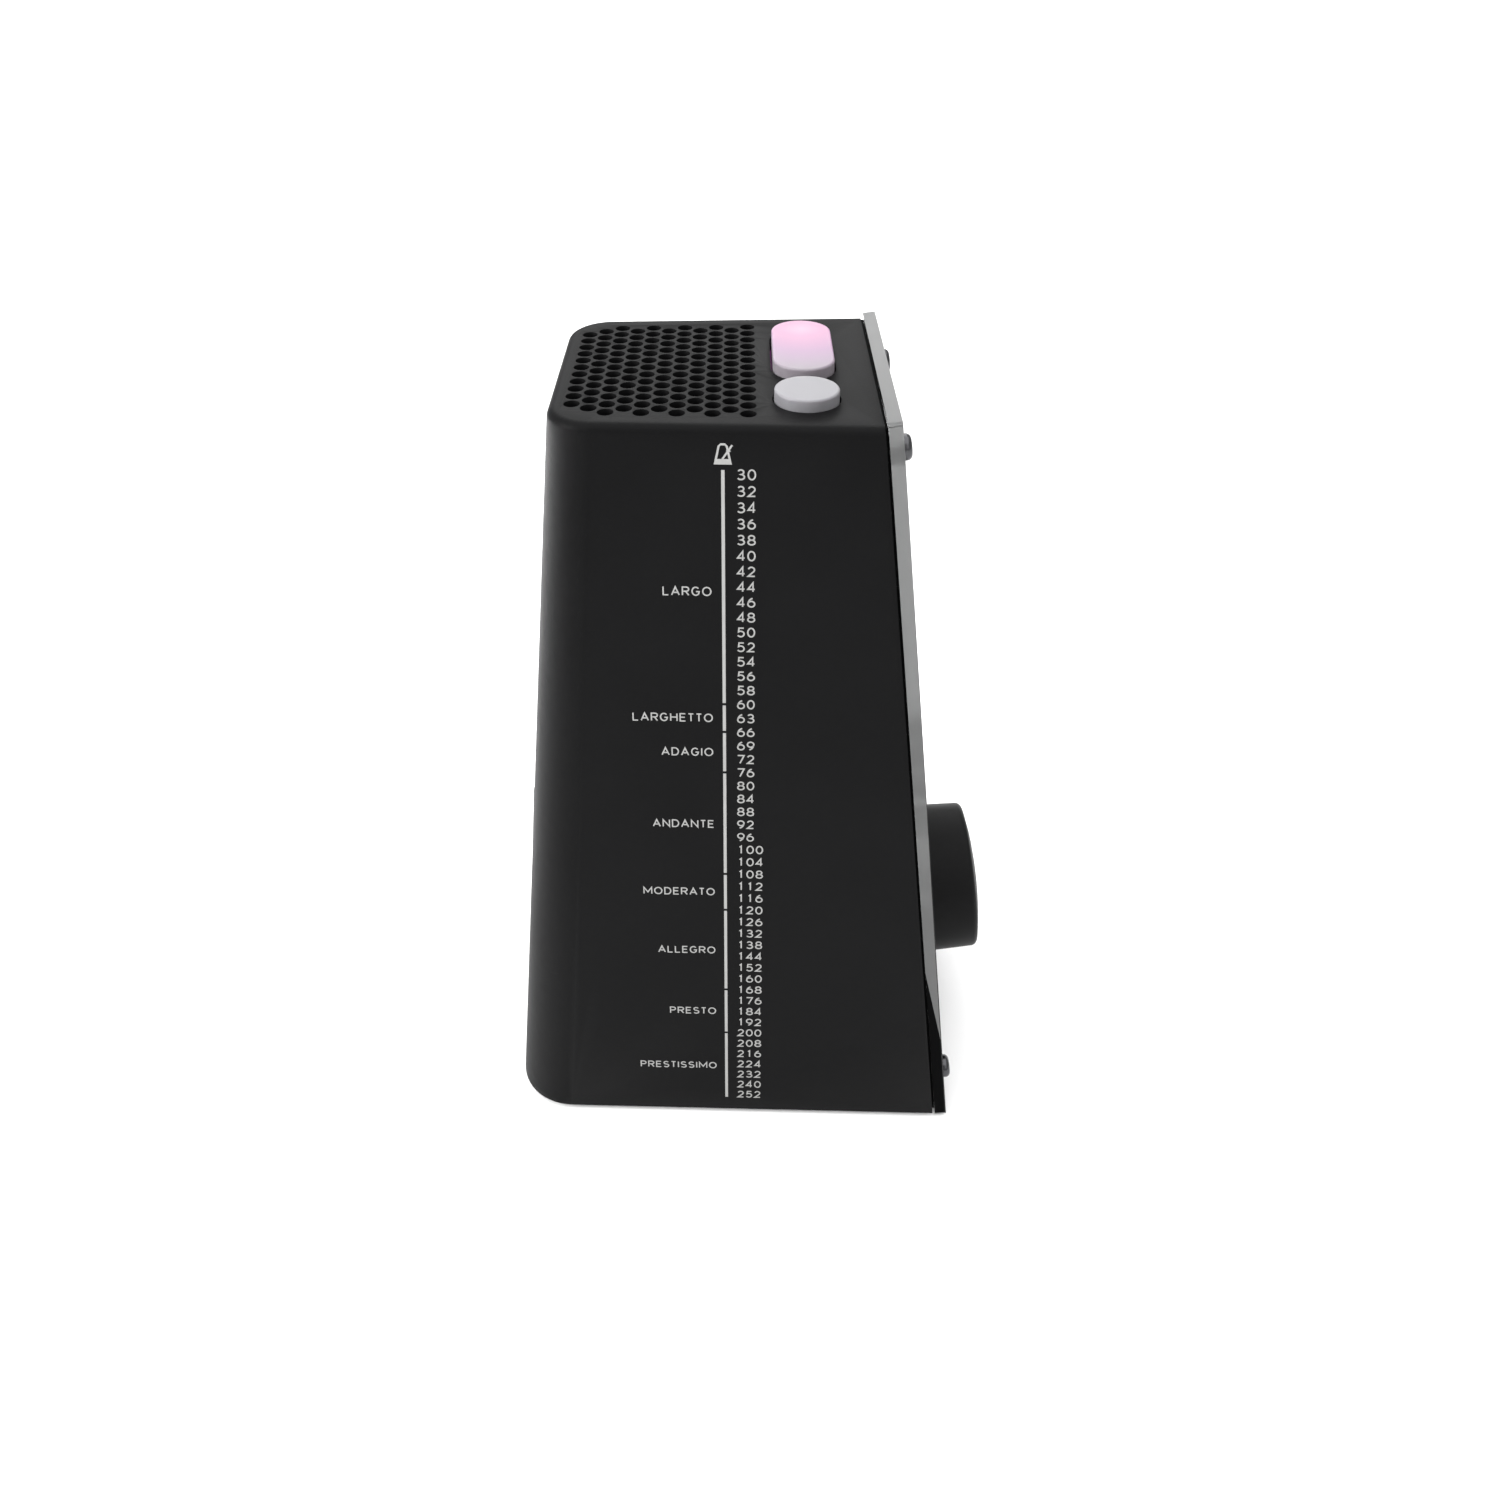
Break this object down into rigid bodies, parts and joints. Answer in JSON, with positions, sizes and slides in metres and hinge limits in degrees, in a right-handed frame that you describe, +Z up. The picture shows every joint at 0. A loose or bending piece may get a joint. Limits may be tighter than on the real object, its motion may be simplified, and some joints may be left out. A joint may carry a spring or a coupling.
{
  "type": "metronome",
  "caption": "Compact electronic tower metronome: tapered black case with clear front panel, tempo knob, speaker grille, lit beat button and tempo scale.",
  "frame": {"origin": "on the table under the middle of the bounding box", "axes": "+Z up, the control face with the knob looks along -Y, the tempo scale is on the -X side"},
  "size_m": [0.0646, 0.085, 0.1322],
  "materials": {
    "case_black": "fine satin grain",
    "panel_clear": "clear cast acrylic",
    "sheet_black": "printed black film",
    "button_white": "translucent white, satin",
    "knob_black": "soft satin",
    "screw_dark": "black nickel, gloss",
    "steel": "plain",
    "brass": "plain",
    "rubber_black": "matt",
    "board_green": "solder mask",
    "part_grey": "moulded",
    "lcd": "dark grey-green",
    "cloth": "fine mesh",
    "paper": "pressed paper",
    "lamp": "diffused lens",
    "cell": "plain sleeve",
    "ink": "light grey screen print"
  },
  "bodies": {
    "case": {"housing": "case_black", "base_plate": "case_black", "front_frame": "case_black", "panel_sheet": "sheet_black", "front_panel": "panel_clear", "lcd_glass": "lcd", "lcd_tray": "button_white", "main_board": "board_green", "encoder_body": "part_grey", "encoder_nut": "brass", "top_board": "board_green", "light_switch": "part_grey", "round_switch": "part_grey", "beat_lamp": "lamp", "grille_cloth": "cloth", "speaker_basket": "steel", "speaker_cone": "paper", "speaker_magnet": "steel", "speaker_clamp": "case_black", "battery_tray": "case_black", "battery_springs": "steel", "battery_plate": "steel", "rear_board": "board_green", "phones_jack": "part_grey", "volume_pot": "part_grey", "base_screw_1": "screw_dark", "base_screw_2": "screw_dark", "base_screw_3": "screw_dark", "base_screw_4": "screw_dark", "foot_1": "rubber_black", "foot_2": "rubber_black", "foot_3": "rubber_black", "foot_4": "rubber_black", "panel_screw_1": "screw_dark", "panel_screw_2": "screw_dark", "panel_screw_3": "screw_dark", "panel_screw_4": "screw_dark", "board_screw_1": "steel", "board_screw_2": "steel", "key_switch_1": "part_grey", "key_switch_2": "part_grey", "key_switch_3": "part_grey", "key_switch_4": "part_grey", "clamp_screw_1": "steel", "clamp_screw_2": "steel", "battery_1": "cell", "battery_2": "cell", "battery_3": "cell"},
    "knob_set": {"knob": "knob_black", "knob_shaft": "steel"},
    "light_button_body": {"light_button": "button_white"},
    "round_button_body": {"round_button": "button_white"},
    "volume_wheel_body": {"volume_wheel": "knob_black"},
    "battery_door_body": {"battery_door": "case_black"},
    "key_1_body": {"key_1": "button_white"},
    "key_2_body": {"key_2": "button_white"},
    "key_3_body": {"key_3": "button_white"},
    "key_4_body": {"key_4": "button_white"}
  },
  "joints": [
    {"name": "tempo_turn", "type": "hinge", "parent": "case", "child": "knob_set", "pos_m": [0, -0.0293, 0.02757], "axis": [0, -0.9934, 0.1147], "continuous": true},
    {"name": "light_button_press", "type": "slide", "parent": "case", "child": "light_button_body", "axis": [0, 0, -1], "range_m": [0, 0.0008], "stiffness_N_per_m": 600, "springref_m": -0.0005},
    {"name": "round_button_press", "type": "slide", "parent": "case", "child": "round_button_body", "axis": [0, 0, -1], "range_m": [0, 0.0008], "stiffness_N_per_m": 600, "springref_m": -0.0005},
    {"name": "key_1_press", "type": "slide", "parent": "case", "child": "key_1_body", "axis": [0, 0.9934, -0.1147], "range_m": [0, 0.0006], "stiffness_N_per_m": 600, "springref_m": -0.0004},
    {"name": "key_2_press", "type": "slide", "parent": "case", "child": "key_2_body", "axis": [0, 0.9934, -0.1147], "range_m": [0, 0.0006], "stiffness_N_per_m": 600, "springref_m": -0.0004},
    {"name": "key_3_press", "type": "slide", "parent": "case", "child": "key_3_body", "axis": [0, 0.9934, -0.1147], "range_m": [0, 0.0006], "stiffness_N_per_m": 600, "springref_m": -0.0004},
    {"name": "key_4_press", "type": "slide", "parent": "case", "child": "key_4_body", "axis": [0, 0.9934, -0.1147], "range_m": [0, 0.0006], "stiffness_N_per_m": 600, "springref_m": -0.0004},
    {"name": "volume_turn", "type": "hinge", "parent": "case", "child": "volume_wheel_body", "pos_m": [0.0055, 0.02818, 0.08556], "axis": [0, -0.0995, 0.995], "range_deg": [-140, 140]},
    {"name": "battery_door_hinge", "type": "hinge", "parent": "case", "child": "battery_door_body", "pos_m": [0, 0.04046, 0.009], "axis": [-1, 0, 0], "range_deg": [0, 90]}
  ]
}
